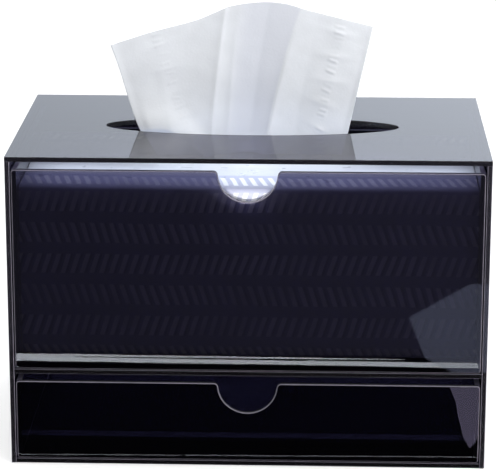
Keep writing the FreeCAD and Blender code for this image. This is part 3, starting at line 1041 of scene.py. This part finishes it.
def make_world():
    world = bpy.data.worlds.new("studio")
    bpy.context.scene.world = world
    world.use_nodes = True
    g = Graph(world.node_tree)
    x, y, z = g.parts(g.node("ShaderNodeTexCoord", {}, output="Generated"))
    behind = y.step(*BEHIND_BEGINS) * (1.0 - z.step(*BEHIND_ENDS_ABOVE))
    above = z.step(*ABOVE_BEGINS)
    back = x.step(*LEFT_TO_RIGHT) * (BACK_RIGHT_GLOW - BACK_LEFT_GLOW) + BACK_LEFT_GLOW
    glow = behind * (back - FRONT_GLOW) + above * (TOP_GLOW - FRONT_GLOW) + FRONT_GLOW
    sight = g.node("ShaderNodeLightPath", {}, output="Is Camera Ray")
    strength = sight + glow * (1.0 - sight)
    colour = g.mix(behind * (1.0 - sight), (1, 1, 1, 1), BACKDROP_TINT)
    backdrop = g.node("ShaderNodeBackground", {"Color": colour, "Strength": strength})
    g.node("ShaderNodeOutputWorld", {"Surface": backdrop})


make_world()
print("studio ready")

# %% Table
TABLE_DROP = 0.3 * MM
TABLE_HALF = 4.0
TABLE_WHITE = (0.82, 0.82, 0.82, 1)
TABLE_LIFT = 0.45
TABLE_IN_GLOSS = 0.02
FAR_TABLE_FROM, FAR_TABLE_BLUR = -222 * MM, 8 * MM
FAR_TABLE_LEFT, FAR_TABLE_RIGHT = 0.14, 0.19
FAR_TABLE_SIDES = (-120 * MM, 120 * MM)
FAR_TABLE_TINT = (0.98, 0.93, 1.4, 1)


def make_table():
    mesh = bpy.data.meshes.new("table")
    corners = [(-1, -1), (1, -1), (1, 1), (-1, 1)]
    mesh.from_pydata([(a * TABLE_HALF, b * TABLE_HALF, -TABLE_DROP) for a, b in corners], [],
                     [(0, 1, 2, 3)])
    table = bpy.data.objects.new("table", mesh)
    bpy.context.scene.collection.objects.link(table)
    material, g = new_material("table_top")
    light = g.node("ShaderNodeLightPath", {})
    paths = light.socket.node.outputs
    seen = Wire(g, paths["Is Camera Ray"]).maths("MAXIMUM", Wire(g, paths["Is Transmission Ray"]))
    glossy = Wire(g, paths["Is Glossy Ray"])
    white = g.node("ShaderNodeBsdfDiffuse", {"Color": TABLE_WHITE})
    x, y, _ = g.parts(g.node("ShaderNodeTexCoord", {}, output="Object"))
    far = 1.0 - y.step(FAR_TABLE_FROM - FAR_TABLE_BLUR, FAR_TABLE_FROM)
    grey = x.step(*FAR_TABLE_SIDES) * (FAR_TABLE_RIGHT - FAR_TABLE_LEFT) + FAR_TABLE_LEFT
    cloth = g.node("ShaderNodeEmission", {"Color": FAR_TABLE_TINT,
                                          "Strength": far * grey + TABLE_IN_GLOSS})
    lift = g.node("ShaderNodeEmission", {"Color": (1, 1, 1, 1), "Strength": seen * TABLE_LIFT})
    pale = g.node("ShaderNodeAddShader", {0: white, 1: lift})
    clear = g.node("ShaderNodeBsdfTransparent", {})
    under = g.node("ShaderNodeNewGeometry", {}, output="Backfacing")
    top = g.node("ShaderNodeMixShader", {0: glossy, 1: pale, 2: cloth})
    finish_material(g, g.node("ShaderNodeMixShader", {0: under, 1: top, 2: clear}))
    mesh.materials.append(material)
    return table


make_table()
print("table ready")

# %% [markdown]
# The light itself is plain: a soft box overhead, one in front at the right, and one low at the
# right that polished faces don't show.

# %% Lamps
FOCUS = Vector((0, 0, 0.12))


def softbox(name, place, size, power, aim=FOCUS):
    data = bpy.data.lights.new(name, "AREA")
    data.shape = "RECTANGLE"
    data.size, data.size_y = size
    data.energy = power
    lamp = bpy.data.objects.new(name, data)
    lamp.location = place
    lamp.rotation_mode = "QUATERNION"
    lamp.rotation_quaternion = (Vector(place) - aim).to_track_quat("Z", "Y")
    bpy.context.scene.collection.objects.link(lamp)
    return lamp


softbox("overhead", place=(0.0, -0.05, 1.3), size=(0.7, 0.5), power=3.6)
softbox("front_top", place=(0.55, -1.0, 0.75), size=(0.7, 0.4), power=3.8)
right_side = softbox("right_side", place=(0.55, -0.25, 0.06), size=(0.4, 0.3), power=1.8)
right_side.visible_glossy = False
print("lamps ready")

# %% [markdown]
# Very little light finds its way in through dark sheet, and a path tracer finds that little
# only by chance. Two weak lamps laid flat under the top panel, which no camera or mirror
# sees, stand for it and keep the inside free of grain.

# %% Lamps under the top panel
# Each lamp: its length, its power and where its middle is along the box.
INSIDE_LAMPS = {"under_top_long": (0.202, 0.032, 0.0), "under_top_middle": (0.10, 0.042, -0.018)}
INSIDE_LAMP_DEPTH = 35 * MM
INSIDE_LAMP_Y = -33 * MM
INSIDE_LIGHT = (0.92, 1.0, 1.1)
top_panel_low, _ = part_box("case_top_panel")
for name, (length, power, middle) in INSIDE_LAMPS.items():
    inside_place = Vector((middle, INSIDE_LAMP_Y, top_panel_low.z - MM))
    inside = softbox(name, inside_place, (length, INSIDE_LAMP_DEPTH), power,
                     aim=inside_place - Vector((0, 0, 1)))
    inside.data.color = INSIDE_LIGHT
    inside.visible_camera = inside.visible_glossy = inside.visible_transmission = False
print("inside lamps:", len(INSIDE_LAMPS))

# %% [markdown]
# The finger notch is the one place where the film shows bare, and the front light reaches it
# there. A narrow spot keeps that patch as bright as it is in a real studio.

# %% Light in the notch
NOTCH_LIGHT_AT = Vector((0, -0.5, 0.16))
NOTCH_MIDDLE = Vector((0, wrap_low.y, 0.127))
NOTCH_LIGHT_POWER = 6.6
NOTCH_LIGHT_WIDTH = math.radians(3.3)
NOTCH_LIGHT_BLUR = 0.6


def make_notch_light():
    data = bpy.data.lights.new("notch_light", "SPOT")
    data.energy = NOTCH_LIGHT_POWER
    data.spot_size = NOTCH_LIGHT_WIDTH
    data.spot_blend = NOTCH_LIGHT_BLUR
    lamp = bpy.data.objects.new("notch_light", data)
    lamp.location = NOTCH_LIGHT_AT
    lamp.rotation_mode = "QUATERNION"
    lamp.rotation_quaternion = (NOTCH_LIGHT_AT - NOTCH_MIDDLE).to_track_quat("Z", "Y")
    lamp.visible_camera = lamp.visible_glossy = False
    bpy.context.scene.collection.objects.link(lamp)


make_notch_light()
print("notch lit")

# %% [markdown]
# ## Things that polish shows
#
# A dark polished front is a mirror for whatever lies before it. Three things do: a narrow strip
# lamp across the table, seen as a bright band low on the upper drawer, a thin bright line close to
# the box, seen near the bottom of the case, and a white card at the right, whose nearer part is
# brighter. All of them glow, and only mirrors see them.

# %% Strip lamp, near line and card
STRIP_GLOW = 7.5
NEAR_LINE_GLOW = 2.5
STRIP_COLOUR = (0.92, 0.97, 1.07, 1)
CARD_GLOW = 1.0
CARD_COLOUR = (0.86, 0.93, 1.35, 1)
CARD_FOOT_COLOUR = (1.25, 1.12, 1.75, 1)


def mirror_only(name, outlines, colour, glow):
    """Flat glowing shapes on the table, as outlines in mm, that only glossy rays meet."""
    points, faces = [], []
    for outline in outlines:
        faces.append(range(len(points), len(points) + len(outline)))
        points += [(x * MM, y * MM, 0.0) for x, y in outline]
    mesh = bpy.data.meshes.new(name)
    mesh.from_pydata(points, [], [tuple(face) for face in faces])
    material, g = new_material(name)
    finish_material(g, g.node("ShaderNodeEmission", {"Color": colour, "Strength": glow}))
    mesh.materials.append(material)
    made = bpy.data.objects.new(name, mesh)
    bpy.context.scene.collection.objects.link(made)
    made.visible_camera = made.visible_diffuse = made.visible_transmission = False
    made.visible_shadow = False


STRIP_TUBE = [(-126, -210.9), (-112, -210.6), (-65, -209.9), (-29, -209.7), (38, -208.9),
              (89, -207.5), (114, -207.1), (114, -215.1), (89, -215.4), (38, -216.0),
              (-29, -216.4), (-66, -217.0), (-113, -218.9), (-126, -218.9)]
STRIP_RIM = [(-126, -218.9), (-87, -218.9), (-66, -218.7), (-29.6, -218.8), (37.7, -218.8),
             (76.5, -219.5), (76.5, -220.0), (37.7, -220.9), (-29.8, -221.9), (-66, -222.1),
             (-126, -222.6)]
NEAR_LINE = [(-107.7, -76.0), (105.8, -80.0), (105.7, -78.9), (-107.6, -74.9)]
CARD_UPPER = [(81, -292), (118, -357), (180, -357), (180, -200), (100, -200), (87, -223)]
CARD_LOWER = [(97.5, -179.4), (99.5, -156.1), (99.7, -135.2), (100.7, -104.1), (102.8, -90.9),
              (106.3, -99.4), (109.9, -120.1), (113.7, -178.3)]
# Two small glowing patches, not part of any card, whose reflections are painted glints at the lower
# corners of the upper drawer's front.
CORNER_GLINTS = [[(-124.1, -202.4), (-121.4, -201.7), (-123.8, -200.0)],
              [(112.4, -198.7), (115.7, -198.1), (115.6, -196.1)]]
mirror_only("strip_lamp", [STRIP_TUBE, STRIP_RIM, *CORNER_GLINTS], STRIP_COLOUR, STRIP_GLOW)
mirror_only("near_line", [NEAR_LINE], STRIP_COLOUR, NEAR_LINE_GLOW)
mirror_only("white_card", [CARD_UPPER], CARD_COLOUR, CARD_GLOW)
mirror_only("card_foot", [CARD_LOWER], CARD_FOOT_COLOUR, CARD_GLOW)
print("strip lamp, near line and card ready")

# %% [markdown]
# ## The view
#
# The box is seen almost straight on and a little from above, from just over a metre away and
# through a long lens, so its upright edges stay nearly parallel. A camera could be aimed at a
# target by a constraint, but its place and its three angles written out say the view exactly.

# %% Camera
CAMERA_AT = Vector((32.81, -1105.35, 400.0)) * MM
AZIMUTH = -0.0313514
ELEVATION = 0.272141
ROLL = -0.0016341
LENS = 176.276
SENSOR_WIDTH = 36.0


def make_camera():
    data = bpy.data.cameras.new("camera")
    data.lens = LENS
    data.sensor_width = SENSOR_WIDTH
    camera = bpy.data.objects.new("camera", data)
    ahead = Vector((math.sin(AZIMUTH) * math.cos(ELEVATION),
                    math.cos(AZIMUTH) * math.cos(ELEVATION), -math.sin(ELEVATION)))
    camera.location = CAMERA_AT
    camera.rotation_mode = "QUATERNION"
    level = ahead.to_track_quat("-Z", "Y")
    camera.rotation_quaternion = level @ Matrix.Rotation(-ROLL, 3, "Z").to_quaternion()
    bpy.context.scene.collection.objects.link(camera)
    bpy.context.scene.camera = camera


make_camera()
bpy.context.scene.view_settings.view_transform = "Standard"
print("camera looks down by", round(math.degrees(ELEVATION), 1), "degrees")
